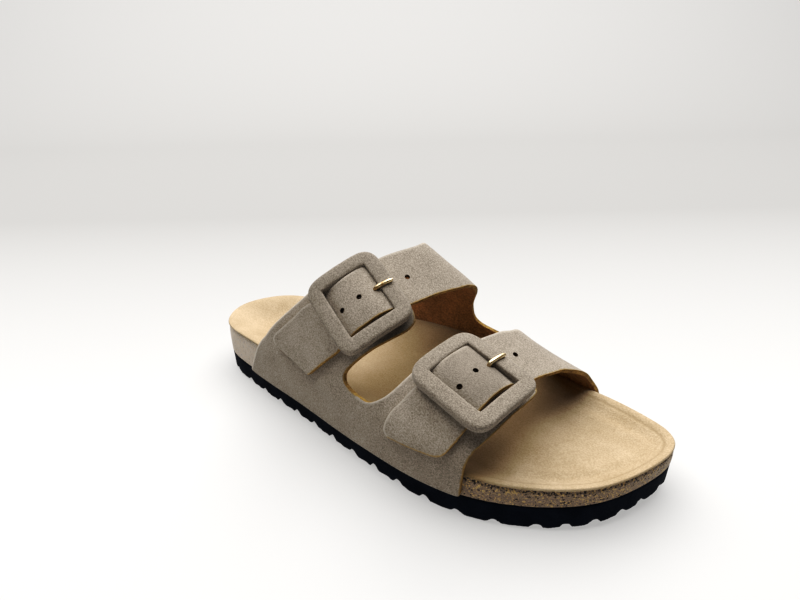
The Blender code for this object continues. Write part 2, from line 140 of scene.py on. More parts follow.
def add_node(tree, kind, inputs=None, **settings):
    """New node with its settings, and its inputs set or linked by name or number."""
    made = tree.nodes.new(kind)
    for name, value in settings.items():
        setattr(made, name, value)
    for name, value in (inputs or {}).items():
        if isinstance(value, bpy.types.NodeSocket):
            tree.links.new(value, made.inputs[name])
        else:
            made.inputs[name].default_value = value
    return made


def noise(tree, place, scale, detail=2.0, roughness=0.5):
    made = add_node(tree, "ShaderNodeTexNoise", {
        "Vector": place, "Scale": scale, "Detail": detail, "Roughness": roughness})
    return made.outputs["Fac"]


def span(tree, value, low, high, to_low=0.0, to_high=1.0):
    """Map a value from one span to another, clamped."""
    made = add_node(tree, "ShaderNodeMapRange", {
        "Value": value, "From Min": low, "From Max": high, "To Min": to_low, "To Max": to_high})
    return made.outputs["Result"]


def blend(tree, share, first, second, kind="RGBA"):
    """Blend two colours, or two values of another kind, by a share."""
    at_share, at_first, at_second, result = MIX_SOCKETS[kind]
    inputs = {at_share: share, at_first: first, at_second: second}
    return add_node(tree, "ShaderNodeMix", inputs, data_type=kind).outputs[result]


def sums(tree, operation, first, second=0.0):
    return add_node(tree, "ShaderNodeMath", {0: first, 1: second}, operation=operation).outputs[0]


def times(tree, first, second):
    return sums(tree, "MULTIPLY", first, second)


def bump(tree, height, distance):
    return add_node(tree, "ShaderNodeBump", {"Height": height, "Distance": distance}).outputs["Normal"]


def new_material(name, **constants):
    """Material with a Principled shader, and its constant sockets set."""
    material = bpy.data.materials.new(name)
    material.use_nodes = True
    shader = material.node_tree.nodes["Principled BSDF"]
    for socket, value in constants.items():
        shader.inputs[socket.replace("_", " ")].default_value = value
    return material, material.node_tree


def finish(material, **values):
    """Link values that change over the surface to the sockets of a material's shader."""
    shader = material.node_tree.nodes["Principled BSDF"]
    for socket, value in values.items():
        material.node_tree.links.new(value, shader.inputs[socket.replace("_", " ")])


def new_group(name, inputs, outputs):
    """Shader node group with named sockets; returns the tree, its input node and its output node."""
    tree = bpy.data.node_groups.new(name, "ShaderNodeTree")
    for title, kind, value in inputs:
        socket = tree.interface.new_socket(title, in_out="INPUT", socket_type=kind)
        socket.default_value = value
    for title, kind in outputs:
        tree.interface.new_socket(title, in_out="OUTPUT", socket_type=kind)
    return tree, tree.nodes.new("NodeGroupInput"), tree.nodes.new("NodeGroupOutput")


def use_group(tree, group, inputs):
    return add_node(tree, "ShaderNodeGroup", inputs, node_tree=group)


def place_of(tree):
    return add_node(tree, "ShaderNodeTexCoord").outputs["Object"]


def axes_of(tree):
    """X and Y of the place on the object, in metres."""
    split = add_node(tree, "ShaderNodeSeparateXYZ", {"Vector": place_of(tree)})
    return split.outputs["X"], split.outputs["Y"]


def stored(tree, name):
    """Number that a piece's vertices store under a name."""
    return add_node(tree, "ShaderNodeAttribute", attribute_name=name).outputs["Fac"]


def tint(material, share, colour):
    """Blend a material's base colour towards another by a share that changes over the surface."""
    tree = material.node_tree
    base = tree.nodes["Principled BSDF"].inputs["Base Color"].links[0].from_socket
    finish(material, Base_Color=blend(tree, share, base, (*colour, 1)))


print("node helpers are ready, with Mix sockets for", ", ".join(MIX_SOCKETS))

# %% [markdown]
# ## Brushed nap
# Suede is leather with its fibres raised. Up close it is a salt-and-pepper of fibre ends, and further away
# the brushed patches lie this way and that and look paler or deeper. Both scales go into one group that the
# straps, the buckle frames, the lining, the cut edges and the footbed cover share, each with its own two
# colours.

# %% Nap group
PATCH_NOISE, GRAIN_NOISE = (4.0, 0.6), (3.0, 0.65)              # detail and roughness
PATCH_CONTRAST, GRAIN_CONTRAST = (0.32, 0.68), (0.36, 0.64)     # noise that counts as deep and as pale
NAP_ROUGHNESS = 0.84, 0.96

NAP, nap_in, nap_out = new_group("brushed_nap", (
    ("Pale", "NodeSocketColor", (0.5, 0.5, 0.5, 1)),
    ("Deep", "NodeSocketColor", (0.1, 0.1, 0.1, 1)),
    ("Patch Scale", "NodeSocketFloat", 60.0),
    ("Grain Scale", "NodeSocketFloat", 1100.0),
    ("Patch Share", "NodeSocketFloat", 0.5),
), (("Color", "NodeSocketColor"), ("Height", "NodeSocketFloat"), ("Roughness", "NodeSocketFloat")))
nap_place = place_of(NAP)
patches = span(NAP, noise(NAP, nap_place, nap_in.outputs["Patch Scale"], *PATCH_NOISE), *PATCH_CONTRAST)
grain = span(NAP, noise(NAP, nap_place, nap_in.outputs["Grain Scale"], *GRAIN_NOISE), *GRAIN_CONTRAST)
nap_mix = blend(NAP, nap_in.outputs["Patch Share"], grain, patches, "FLOAT")
NAP.links.new(blend(NAP, nap_mix, nap_in.outputs["Deep"], nap_in.outputs["Pale"]), nap_out.inputs["Color"])
NAP.links.new(grain, nap_out.inputs["Height"])
NAP.links.new(span(NAP, patches, 0.0, 1.0, *NAP_ROUGHNESS), nap_out.inputs["Roughness"])
print("nap group with inputs", ", ".join(socket.name for socket in nap_in.outputs if socket.name))

# %% Suedes
SUEDES = (
    # name, pale and deep tone, patches and grains for each metre, share of patches, relief in mm, sheen
    ("taupe_suede", (0.440, 0.380, 0.312), (0.160, 0.132, 0.098), 60.0, 1600.0, 0.24, 0.10, 0.10),
    # the frames' suede is the taupe suede made deeper, painted shade
    ("frame_suede_shaded", (0.350, 0.302, 0.246), (0.130, 0.107, 0.079), 80.0, 1600.0, 0.20, 0.10, 0.10),
    ("footbed_suede", (0.520, 0.410, 0.275), (0.300, 0.216, 0.118), 45.0, 1300.0, 0.45, 0.10, 0.08),
    ("strap_lining", (0.560, 0.315, 0.135), (0.190, 0.098, 0.042), 80.0, 900.0, 0.45, 0.25, 0.05),
    ("cut_edge", (0.480, 0.310, 0.100), (0.130, 0.070, 0.022), 300.0, 900.0, 0.55, 0.35, 0.0),
    # near-black walls of the punched holes, painted shade
    ("hole_wall_shaded", (0.060, 0.036, 0.016), (0.020, 0.012, 0.006), 300.0, 900.0, 0.50, 0.20, 0.0),
)


def suede(name, pale, deep, patch_scale, grain_scale, patch_share, relief, sheen):
    """Suede of two tones, with its grain as relief."""
    material, tree = new_material(name, Sheen_Weight=sheen, Sheen_Roughness=0.5, Specular_IOR_Level=0.2)
    nap = use_group(tree, NAP, {
        "Pale": (*pale, 1), "Deep": (*deep, 1), "Patch Scale": patch_scale, "Grain Scale": grain_scale,
        "Patch Share": patch_share})
    finish(material, Base_Color=nap.outputs["Color"], Roughness=nap.outputs["Roughness"],
           Normal=bump(tree, nap.outputs["Height"], relief * MM))
    return material


TAUPE, SHADED_FRAME_TAUPE, TAN, LINING, CUT_EDGE, SHADED_HOLE_WALL = (suede(*row) for row in SUEDES)
print("suedes:", ", ".join(row[0] for row in SUEDES))

# %% [markdown]
# ## Rubbed suede, painted highlights and painted shade
# The rear edges of straps and ears are rubbed pale, which also paints a highlight along them, and the front
# edges show the golden leather under the nap. In the front buckle's window and under both frames' front
# bars the suede gets painted shade. Each of these is a band round a line, so the pieces store the distance
# to that line in their vertices, and the suede blends towards another colour where the distance is short.
# A fine noise makes the band ragged.

# %% Bands of the taupe suede
TO_FRONT_EDGE, TO_REAR_EDGE, TO_WINDOW, TO_BAR = "to_front_edge", "to_rear_edge", "to_window", "to_bar"
BANDS = (
    # distance in mm that it reads, full up to, gone past, strength, colour
    # rubbed rear edges: pale from wear, and a painted highlight along the edge
    (TO_REAR_EDGE, 0.6, 1.5, 0.75, (0.490, 0.430, 0.355)),
    (TO_FRONT_EDGE, 0.25, 0.85, 0.85, (0.300, 0.200, 0.070)),
    # painted shade on the strap inside the front buckle's window
    (TO_WINDOW, 13.0, 19.0, 0.48, (0.110, 0.092, 0.072)),
    # painted shade that the frames' front bars cast on the ears
    (TO_BAR, 8.5, 13.0, 0.70, (0.035, 0.028, 0.019)),
)
RAGGED_SCALE, RAGGED_NOISE, RAGGED_BY = 700.0, (0.3, 0.7), (-0.25, 0.25)


def rub_and_shade(material, distance_name, full, gone, strength, colour):
    """Blend the suede towards a colour near a line, by the distance stored in the piece's vertices."""
    tree = material.node_tree
    ragged = span(tree, noise(tree, place_of(tree), RAGGED_SCALE), *RAGGED_NOISE, *RAGGED_BY)
    distance = sums(tree, "ADD", stored(tree, distance_name), ragged)
    tint(material, span(tree, distance, gone, full, 0.0, strength), colour)


for band in BANDS:
    rub_and_shade(TAUPE, *band)
print("bands on", TAUPE.name, "read", ", ".join(band[0] for band in BANDS))

# %% [markdown]
# ## Tones of the footbed cover
# Under the straps the cover gets painted shade, the shadow that the straps cast, deeper than at heel and
# toes and most of all along the outer side. Round the toes a fine line is pressed into it, a little inside
# the rim, and painted shade makes that line darker.
# The first follows X and Y, and the second the distance to the rim that the cover's vertices store.

# %% Footbed tones
TO_RIM = "to_rim"
STRAP_SHADE_X = (-0.075, 0.020), (0.084, 0.070)                # none and full, from the heel and from the toes
STRAP_SHADE_Y, STRAP_SHADE_SHARE = (-0.010, -0.026), (0.58, 0.72)     # stronger along the outer side
RIM_LINE = 3.9                                          # pressed line of the cover, mm from its edge
LINE_FADE = 0.9, 0.2                                    # mm off the line where its tone is none and full
LINE_X, LINE_SHARE = (0.050, 0.085), (0.0, 0.45)        # the line's tone grows towards the toes
# painted shadow of the straps, and painted shade in the pressed line
STRAP_SHADE_TAN, LINE_SHADE_TAN = (0.160, 0.098, 0.028), (0.230, 0.160, 0.080)

tan_tree = TAN.node_tree
tan_x, tan_y = axes_of(tan_tree)
# painted shadow that the straps cast on the cover
strap_shade = times(tan_tree, *(span(tan_tree, tan_x, *ends) for ends in STRAP_SHADE_X))
tint(TAN, times(tan_tree, strap_shade, span(tan_tree, tan_y, *STRAP_SHADE_Y, *STRAP_SHADE_SHARE)), STRAP_SHADE_TAN)
# painted shade in the pressed line round the toes
off_line = sums(tan_tree, "ABSOLUTE", sums(tan_tree, "SUBTRACT", stored(tan_tree, TO_RIM), RIM_LINE))
pressed = times(tan_tree, span(tan_tree, off_line, *LINE_FADE), span(tan_tree, tan_x, *LINE_X, *LINE_SHARE))
tint(TAN, pressed, LINE_SHADE_TAN)
print("footbed tones on", TAN.name)

# %% [markdown]
# ## Foam for the outsole
# The outsole is moulded foam rubber, almost black with a blue cast. Soft clouds vary its tone a little. Fine
# pores break its gloss, so a finer noise goes into roughness and relief.

# %% Foam
PORES, CLOUDS, FOAM_DETAIL = 1400.0, 90.0, 3.0          # scales of the two noises, and their detail
CLOUD_CONTRAST, PORE_CONTRAST = (0.35, 0.65), (0.3, 0.7)
FOAM_ROUGHNESS, FOAM_RELIEF = (0.62, 0.85), 0.15
DARK_FOAM, PALE_FOAM = (0.0034, 0.0052, 0.0098, 1), (0.0072, 0.0100, 0.0170, 1)

FOAM, foam_tree = new_material("black_foam", Specular_IOR_Level=0.03)
foam_place = place_of(foam_tree)
pores = noise(foam_tree, foam_place, PORES, FOAM_DETAIL)
clouds = span(foam_tree, noise(foam_tree, foam_place, CLOUDS, FOAM_DETAIL), *CLOUD_CONTRAST)
finish(FOAM, Base_Color=blend(foam_tree, clouds, DARK_FOAM, PALE_FOAM),
       Roughness=span(foam_tree, pores, *PORE_CONTRAST, *FOAM_ROUGHNESS),
       Normal=bump(foam_tree, pores, FOAM_RELIEF * MM))
print("foam:", FOAM.name)

# %% [markdown]
# ## Cork
# Pressed cork is a crowd of crumbs glued under heat: most are grey brown, some golden, with dark pits
# between them. Voronoi cells give each crumb its own random number. One threshold on it picks the golden
# ones and another the pits. Right under the cover, where the press is hardest, both crowd together. Towards
# the heel the cork is dustier and paler, and towards the inner side it gets a paler painted sheen, so that
# tone follows X and Y.

# %% Cork cells
CRUMBS, SPECKS = 1500.0, 2900.0                 # cells for each metre
CORK_BEND, CORK_BEND_SCALE = 0.0016, 420.0      # how far a noise bends the cells, and its scale

CORK, cork_tree = new_material("pressed_cork", Specular_IOR_Level=0.45)
cork_place = place_of(cork_tree)
cork_bend = add_node(cork_tree, "ShaderNodeTexNoise", {"Vector": cork_place, "Scale": CORK_BEND_SCALE})
cork_at = blend(cork_tree, CORK_BEND, cork_place, cork_bend.outputs["Color"], "VECTOR")


def cork_cells(scale, output, feature="F1"):
    made = add_node(cork_tree, "ShaderNodeTexVoronoi", {"Vector": cork_at, "Scale": scale}, feature=feature)
    return made.outputs[output]


def crumb_number(scale):
    """Random number of each cork crumb."""
    colour = cork_cells(scale, "Color")
    return add_node(cork_tree, "ShaderNodeSeparateColor", {"Color": colour}).outputs["Red"]


crumb, speck = crumb_number(CRUMBS), crumb_number(SPECKS)
crumb_rim = cork_cells(CRUMBS, "Distance", "DISTANCE_TO_EDGE")
print("cork crumbs of", round(1000 / CRUMBS, 2), "and", round(1000 / SPECKS, 2), "mm")

# %% Cork
UNDER_TOP = "under_top"
CROWD_DEPTH = 3.2, 0.6                          # mm under the cover where the crowd is none and full
CROWD_GOLD, CROWD_PITS = 0.10, 0.30             # how much the crowd shifts each threshold
GOLD_CRUMBS, PIT_CRUMBS = (0.86, 0.90), (0.10, 0.06)
GOLD_SPECKS, GOLD_SPECK_SHARE = (0.91, 0.94), (0.0, 0.75)
# paler towards the heel from dust, and towards the inner side from a painted sheen
DUST_X, SHEEN_Y, SHEEN_Y_SHARE = (0.02, -0.09), (-0.01, 0.03), (0.0, 0.45)
DUST_SHEEN_GOLD, DUST_SHEEN_PITS = 0.35, 0.25             # what dust and painted sheen leave of gold and pits
CRUMB_EDGE, CORK_RELIEF = 0.2, 0.35             # share of a crumb that slopes to its edge, and relief in mm
CORK_ROUGHNESS = 0.5, 0.75
GREY_CORK, BROWN_CORK = (0.260, 0.184, 0.128, 1), (0.490, 0.362, 0.252, 1)
DUST_AND_SHEEN, GOLD, PIT = (0.80, 0.69, 0.57, 1), (0.74, 0.52, 0.23, 1), (0.045, 0.028, 0.018, 1)

crowd = span(cork_tree, stored(cork_tree, UNDER_TOP), *CROWD_DEPTH)
cork_x, cork_y = axes_of(cork_tree)
# painted sheen towards the inner side, joined with the dust towards the heel
inner_sheen = span(cork_tree, cork_y, *SHEEN_Y, *SHEEN_Y_SHARE)
dust_and_sheen = sums(cork_tree, "MAXIMUM", span(cork_tree, cork_x, *DUST_X), inner_sheen)
gold = span(cork_tree, sums(cork_tree, "ADD", crumb, times(cork_tree, crowd, CROWD_GOLD)), *GOLD_CRUMBS)
gold = sums(cork_tree, "MAXIMUM", gold, span(cork_tree, speck, *GOLD_SPECKS, *GOLD_SPECK_SHARE))
gold = times(cork_tree, gold, span(cork_tree, dust_and_sheen, 0.0, 1.0, 1.0, DUST_SHEEN_GOLD))
pits = span(cork_tree, sums(cork_tree, "SUBTRACT", crumb, times(cork_tree, crowd, CROWD_PITS)), *PIT_CRUMBS)
pits = times(cork_tree, pits, span(cork_tree, dust_and_sheen, 0.0, 1.0, 1.0, DUST_SHEEN_PITS))
cork_colour = blend(cork_tree, speck, GREY_CORK, BROWN_CORK)
for share, colour in ((dust_and_sheen, DUST_AND_SHEEN), (gold, GOLD), (pits, PIT)):
    cork_colour = blend(cork_tree, share, cork_colour, colour)
cork_height = sums(cork_tree, "SUBTRACT", span(cork_tree, crumb_rim, 0.0, CRUMB_EDGE), pits)
finish(CORK, Base_Color=cork_colour, Roughness=span(cork_tree, speck, 0.0, 1.0, *CORK_ROUGHNESS),
       Normal=bump(cork_tree, cork_height, CORK_RELIEF * MM))
print("cork:", CORK.name)

# %% [markdown]
# ## Brass
# The pins are brass wire, brushed by the strap that they rub on. Tarnish darkens the metal in patches, so a
# soft noise chooses between bright and dull brass, and the dull patches are rougher.

# %% Brass
TARNISH_NOISE, TARNISH_CONTRAST = (260.0, 3.0), (0.42, 0.62)    # scale and detail, bright and dull
BRASS_ROUGHNESS = 0.32, 0.5
BRIGHT_BRASS, DULL_BRASS = (0.74, 0.60, 0.38, 1), (0.30, 0.20, 0.09, 1)

BRASS, brass_tree = new_material("brass", Metallic=1.0)
tarnish = span(brass_tree, noise(brass_tree, place_of(brass_tree), *TARNISH_NOISE), *TARNISH_CONTRAST)
finish(BRASS, Base_Color=blend(brass_tree, tarnish, BRIGHT_BRASS, DULL_BRASS),
       Roughness=span(brass_tree, tarnish, 0.0, 1.0, *BRASS_ROUGHNESS))
print("brass:", BRASS.name)

# %% [markdown]
# ## Reading the shoemaker's tables
# Side view, hollow and last are short tables with one row for each section along the foot. A monotone cubic
# joins the rows: it never overshoots, so a rim that is level between two rows stays level.

# %% Tables of sole and last
SOLE = np.array((
    # x, top of the outsole, outer rim, inner rim
    (0, 11.5, 29.5, 29.5),
    (30, 10.5, 30, 30.5),
    (60, 10, 30.5, 32.5),
    (120, 9.6, 31, 37),
    (160, 10, 27.5, 33),
    (190, 10.4, 23.5, 25.5),
    (225, 10.8, 21, 22),
    (250, 12.6, 21.5, 22),
    (268, 14.8, 23, 23),
), float)
SOLE_TOP, OUTER_RIM, INNER_RIM = 1, 2, 3

HOLLOW = np.array((
    # x, depth under the rim, width of the slope inside the rim
    (0, 9, 26), (60, 9, 28), (110, 8, 26), (150, 6.5, 20), (190, 4.5, 14), (225, 4.2, 11), (268, 4.2, 11),
), float)
HOLLOW_DEPTH, HOLLOW_SLOPE = 1, 2

LAST = np.array((
    # x, crest y, crest z, outer lean, rise, reach and drop, inner rise and reach
    (30, 2, 128, 0.09, 0.40, 0.40, 0.10, 0.45, 0.40),
    (80, 5, 119, 0.09, 0.40, 0.40, 0.10, 0.45, 0.40),
    (110, 9, 106, 0.08, 0.42, 0.42, 0.08, 0.45, 0.40),
    (136, 12, 91.3, 0.06, 0.44, 0.45, 0.06, 0.48, 0.38),
    (162, 14, 73.2, 0.04, 0.48, 0.48, 0.03, 0.50, 0.40),
    (190, 13, 57, 0, 0.58, 0.55, 0, 0.25, 0.20),
    (224, 13, 41.2, 0, 0.62, 0.60, 0, 0.32, 0.42),
    (250, 14, 32, 0, 0.62, 0.60, 0, 0.62, 0.55),
), float)
FIT_GAP = 0.3                                           # between upper and sole
V_OUTER_RIM, V_CREST, V_INNER_RIM = 0.14, 0.55, 0.88    # rims and crest, as shares of the way over the foot


def smooth(at, knots, values):
    """Monotone cubic through the knots, read at the given places."""
    at, knots, values = (np.asarray(a, float) for a in (at, knots, values))
    step = np.diff(knots)
    slope = np.diff(values) / step
    tangent = np.zeros_like(values)
    tangent[0], tangent[-1] = slope[0], slope[-1]
    before, after = slope[:-1], slope[1:]
    same_way = before * after > 0
    total = np.where(same_way, before + after, 1.0)
    tangent[1:-1] = np.where(same_way, 2 * before * after / total, 0.0)
    cell = np.clip(np.searchsorted(knots, at) - 1, 0, len(step) - 1)
    t = np.clip((at - knots[cell]) / step[cell], 0, 1)
    level_part = values[cell] * (2 * t**3 - 3 * t**2 + 1) + values[cell + 1] * (3 * t**2 - 2 * t**3)
    slope_part = tangent[cell] * (t**3 - 2 * t**2 + t) + tangent[cell + 1] * (t**3 - t**2)
    return level_part + step[cell] * slope_part


def read(table, x, column):
    return smooth(x, table[:, 0], table[:, column])


def outer_y(x):
    return np.interp(x, OUTER_EDGE[:, 0], OUTER_EDGE[:, 1])


def inner_y(x):
    return np.interp(x, INNER_EDGE[:, 0], INNER_EDGE[:, 1])


print("tables: sole", SOLE.shape, "hollow", HOLLOW.shape, "last", LAST.shape)

# %% [markdown]
# ## The surface of the last
# The upper is stretched over a last, a wooden foot. Each section goes up the side of the sole, over the
# instep in two cubic arches and down the inner side. A place on it is x along the foot and v around it, from
# 0 at the outer sole edge to 1 at the inner one.

# %% Last
BALL_X = 162.0          # ball of the foot


def bezier(a, b, c, d, t):
    s = 1 - t
    return s**3 * a + 3 * s * s * t * b + 3 * s * t * t * c + t**3 * d


def last_section(x, v):
    outer, inner = outer_y(x) - FIT_GAP, inner_y(x) + FIT_GAP
    low = read(SOLE, x, SOLE_TOP) + FIT_GAP
    outer_rim, inner_rim = read(SOLE, x, OUTER_RIM), read(SOLE, x, INNER_RIM)
    columns = (read(LAST, x, column) for column in range(1, LAST.shape[1]))
    crest_y, crest_z, lean, rise_out, reach, drop, in_rise, in_reach = columns
    up = np.clip(v / V_OUTER_RIM, 0, 1)
    over = np.clip((v - V_OUTER_RIM) / (V_CREST - V_OUTER_RIM), 0, 1)
    beyond = np.clip((V_INNER_RIM - v) / (V_INNER_RIM - V_CREST), 0, 1)
    down = np.clip((1 - v) / (1 - V_INNER_RIM), 0, 1)
    width, height = crest_y - outer, crest_z - outer_rim
    outer_arch_y = bezier(outer, outer + lean * width, crest_y - reach * width, crest_y, over)
    outer_arch_z = bezier(outer_rim, outer_rim + rise_out * height, crest_z - drop * height, crest_z, over)
    inner_arch_y = bezier(inner, inner, crest_y + in_reach * (inner - crest_y), crest_y, beyond)
    inner_arch_z = bezier(inner_rim, inner_rim + in_rise * (crest_z - inner_rim), crest_z, crest_z, beyond)
    zones = (v <= V_OUTER_RIM, v <= V_CREST, v <= V_INNER_RIM)
    y = np.select(zones, (outer, outer_arch_y, inner_arch_y), inner)
    walls = low + up * (outer_rim - low), low + down * (inner_rim - low)
    z = np.select(zones, (walls[0], outer_arch_z, inner_arch_z), walls[1])
    return np.stack((x, y, z), -1)


def last_normal(x, v, span_x=0.5, span_v=0.002):
    along = last_section(x + span_x, v) - last_section(x - span_x, v)
    around = last_section(x, np.minimum(v + span_v, 1)) - last_section(x, np.maximum(v - span_v, 0))
    normal = np.cross(along, around)
    return normal / np.linalg.norm(normal, axis=-1, keepdims=True)


def last(x, v, lift):
    return last_section(x, v) + last_normal(x, v) * np.asarray(lift)[..., None]


print("crest of the last over the ball:", last_section(np.array(BALL_X), np.array(V_CREST)).round(1))

# %% [markdown]
# ## From grid to piece
# Most pieces start as a flat bmesh grid whose vertices are then laid on the shoe. These helpers lay it, turn
# the bmesh into an object that rides on the frame's body, and apply modifiers so that the mesh is final.

# %% Helpers for pieces
SHARP_ANGLE = math.radians(42)  # edges that bend more are shaded as edges
WELD = 0.01 * MM                # points nearer than this become one


def add_grid(bm, columns, rows):
    """New flat grid in bm, with each vertex's share of the way along its columns and rows."""
    verts = bmesh.ops.create_grid(bm, x_segments=columns, y_segments=rows, size=0.5)["verts"]
    shares = np.array([vert.co for vert in verts])[:, :2] + 0.5
    return verts, shares[:, 0], shares[:, 1]


def lay(verts, points):
    for vert, point in zip(verts, to_frame(points)):
        vert.co = point


def new_object(name, bm, materials):
    """Object from a bmesh, linked to the scene."""
    mesh = bpy.data.meshes.new(name)
    bm.to_mesh(mesh)
    bm.free()
    for material in materials:
        mesh.materials.append(material)
    made = bpy.data.objects.new(name, mesh)
    bpy.context.scene.collection.objects.link(made)
    return made


def new_piece(name, bm, materials, nodes):
    """Smooth object from a bmesh, riding on the body and standing for the given nodes."""
    piece = new_object(name, bm, materials)
    piece.data.shade_smooth()
    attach(piece, "root")
    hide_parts(*nodes)
    return piece


def apply_modifiers(piece):
    """Keep what the modifiers make as the piece's own mesh."""
    graph = bpy.context.evaluated_depsgraph_get()
    made = bpy.data.meshes.new_from_object(piece.evaluated_get(graph))
    piece.modifiers.clear()
    piece.data = made


def report(piece):
    piece.data.calc_loop_triangles()
    print(piece.name, "has", len(piece.data.loop_triangles), "triangles")


print("piece helpers are ready")

# %% [markdown]
# ## Outsole
# The frame's outsole already has the tread, but its cutters left knife edges. Moulded foam has none, so a
# copy of the node is remeshed into even little quads and relaxed, which rounds every lug a little.

# %% Outsole
FOAM_VOXEL = 1.0        # side of the quads
FOAM_RELAX = 8          # rounds of smoothing

sole_bm = bmesh.new()
sole_bm.from_mesh(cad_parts["outsole"].data)
bmesh.ops.remove_doubles(sole_bm, verts=sole_bm.verts, dist=WELD)
outsole = new_piece("outsole_foam", sole_bm, [FOAM], ["outsole"])
remesh = outsole.modifiers.new("even_quads", "REMESH")
remesh.mode = "VOXEL"
remesh.voxel_size = FOAM_VOXEL * MM
remesh.use_smooth_shade = True
relax = outsole.modifiers.new("relax", "SMOOTH")
relax.iterations = FOAM_RELAX
apply_modifiers(outsole)
report(outsole)

# %% [markdown]
# ## Footbed and its cover
# Cork and cover share the outline. Each is a grid on the hollow of the footbed, extruded down to its
# underside. The columns crowd towards heel and toe, where the outline turns fast. Round the toes the cover
# gets the pressed line just inside its rim and, further in, a soft bead that nears the rim at the tip.

# %% Surface of the footbed
BEAD_WIDTH, BEAD_HEIGHT = 2.6, 0.55
LINE_WIDTH, LINE_DEPTH = 0.8, 0.25
BEAD_START, BEAD_FULL = 195.0, 220.0
BEAD_X, BEAD_INSET = (221, 237, 251, 258), (15.8, 14.5, 12.5, 10.5)     # the bead nears the rim at the toe
LEAST = 0.3                     # no width or height that something is divided by is less


def distance_to_edge(x, y):
    return np.linalg.norm(np.stack((x, y), -1)[..., None, :] - EDGE, axis=-1).min(-1)


def bed(x, y):
    """Top of the cover: a hollow inside a raised rim, with a bead round the toes."""
    rim = read(SOLE, x, OUTER_RIM), read(SOLE, x, INNER_RIM)
    across = np.clip((y - outer_y(x)) / np.maximum(inner_y(x) - outer_y(x), LEAST), 0, 1)
    to_edge = distance_to_edge(x, y)
    t = np.clip(to_edge / read(HOLLOW, x, HOLLOW_SLOPE), 0, 1)
    at_toes = np.clip((x - BEAD_START) / (BEAD_FULL - BEAD_START), 0, 1)
    inset = np.interp(x, BEAD_X, BEAD_INSET)
    bead = BEAD_HEIGHT * at_toes * np.exp(-((to_edge - inset) / BEAD_WIDTH) ** 2)
    bead = bead - LINE_DEPTH * at_toes * np.exp(-((to_edge - RIM_LINE) / LINE_WIDTH) ** 2)
    hollow = read(HOLLOW, x, HOLLOW_DEPTH) * t * t * (3 - 2 * t)
    return rim[0] + across * (rim[1] - rim[0]) - hollow + bead


middle = np.array(HEEL_X + TOE_X) / 2
print("footbed height at the middle:", bed(middle, np.array(0.0)).round(1), "mm")

# %% Footbed and cover
COVER_WALL = 1.5
SEAT = 0.1                              # layers sink into each other by this much
STEEP = 0.5                             # a side's normal rises less than this
CORK_SWELL, COVER_ROLL = 0.25, 0.45     # how far the sides stand out
GROOVE_DEPTH = 0.75
GROOVE_AT, GROOVE_WIDTH = 0.93, 0.06    # shares of the cork's height


def add_plate(bm, columns, rows, side_cuts, under, over, bulge):
    """Closed plate with the sole's plan; its side is cut into loops that bulge outwards."""
    verts, along, across = add_grid(bm, columns, rows)
    x = HEEL_X + (TOE_X - HEEL_X) * (1 - np.cos(math.pi * along)) / 2
    share = (1 - np.cos(math.pi * across)) / 2
    y = outer_y(x) + share * (inner_y(x) - outer_y(x))
    lay(verts, np.column_stack((x, y, over(x, y))))
    bmesh.ops.remove_doubles(bm, verts=bm.verts, dist=WELD)
    bmesh.ops.dissolve_degenerate(bm, edges=bm.edges, dist=WELD)
    lowered = bmesh.ops.extrude_face_region(bm, geom=bm.faces[:])["geom"]
    bottoms = [item for item in lowered if isinstance(item, bmesh.types.BMVert)]
    top = (np.array([vert.co for vert in bottoms]) - STEP) / MM
    lay(bottoms, np.column_stack((top[:, :2], under(top[:, 0], top[:, 1]))))
    bmesh.ops.recalc_face_normals(bm, faces=bm.faces)
    low_set = set(bottoms)
    uprights = [edge for edge in bm.edges if (edge.verts[0] in low_set) != (edge.verts[1] in low_set)]
    bmesh.ops.subdivide_edges(bm, edges=uprights, cuts=side_cuts, use_grid_fill=True)
    bm.normal_update()
    for vert in bm.verts:
        if all(abs(face.normal.z) < STEEP for face in vert.link_faces):
            *plan, height = (np.array(vert.co) - STEP) / MM
            plan = [np.array(mm) for mm in plan]
            low, high = float(under(*plan)), float(over(*plan))
            out = Vector((vert.normal.x, vert.normal.y, 0)).normalized()
            vert.co += out * bulge((height - low) / max(high - low, LEAST)) * MM


def mark_plate(bm, over):
    """Give each vertex its distance to the outline and its depth under the top, in millimetres."""
    points = (np.array([vert.co for vert in bm.verts]) - STEP) / MM
    x, y, z = points.T
    for name, values in ((TO_RIM, distance_to_edge(x, y)), (UNDER_TOP, over(x, y) - z)):
        layer = bm.verts.layers.float.new(name)
        for vert, value in zip(bm.verts, values):
            vert[layer] = value


def cork_under(x, y):
    return read(SOLE, x, SOLE_TOP) - SEAT


def cork_top(x, y):
    return bed(x, y) - COVER_WALL + SEAT


def cover_under(x, y):
    return bed(x, y) - COVER_WALL


def cork_bulge(t):
    """Sides of the cork: nearly flat, with a crumbled groove right under the cover."""
    groove = GROOVE_DEPTH * math.exp(-((t - GROOVE_AT) / GROOVE_WIDTH) ** 2)
    return CORK_SWELL * math.sin(math.pi * min(max(t, 0), 1)) - groove


def cover_bulge(t):
    """Sides of the cover: a rolled edge."""
    return COVER_ROLL * math.sin(math.pi * min(max(t, 0), 1))


PLATES = (
    # name, columns, rows and cuts of the side, underside, top, bulge, material, node, slot
    ("footbed_cork", 120, 30, 9, cork_under, cork_top, cork_bulge, CORK, "footbed", "cork"),
    ("footbed_cover", 160, 90, 2, cover_under, bed, cover_bulge, TAN, "insole", "tan_suede"),
)
for name, columns, rows, cuts, under, over, bulge, material, node, slot in PLATES:
    plate_bm = bmesh.new()
    add_plate(plate_bm, columns, rows, cuts, under, over, bulge)
    mark_plate(plate_bm, over)
    plate = new_piece(name, plate_bm, [material], [node])
    report(plate)

# %% [markdown]
# ## Cutting the upper
# The upper is two pieces of lined suede. The outer side has two ears, and the inner side two long straps
# that cross the foot, run through the buckles and end on the ears. Each is a table: a row for a section
# across, with rear edge and front edge as places on the last, and how far the inside lifts off it.

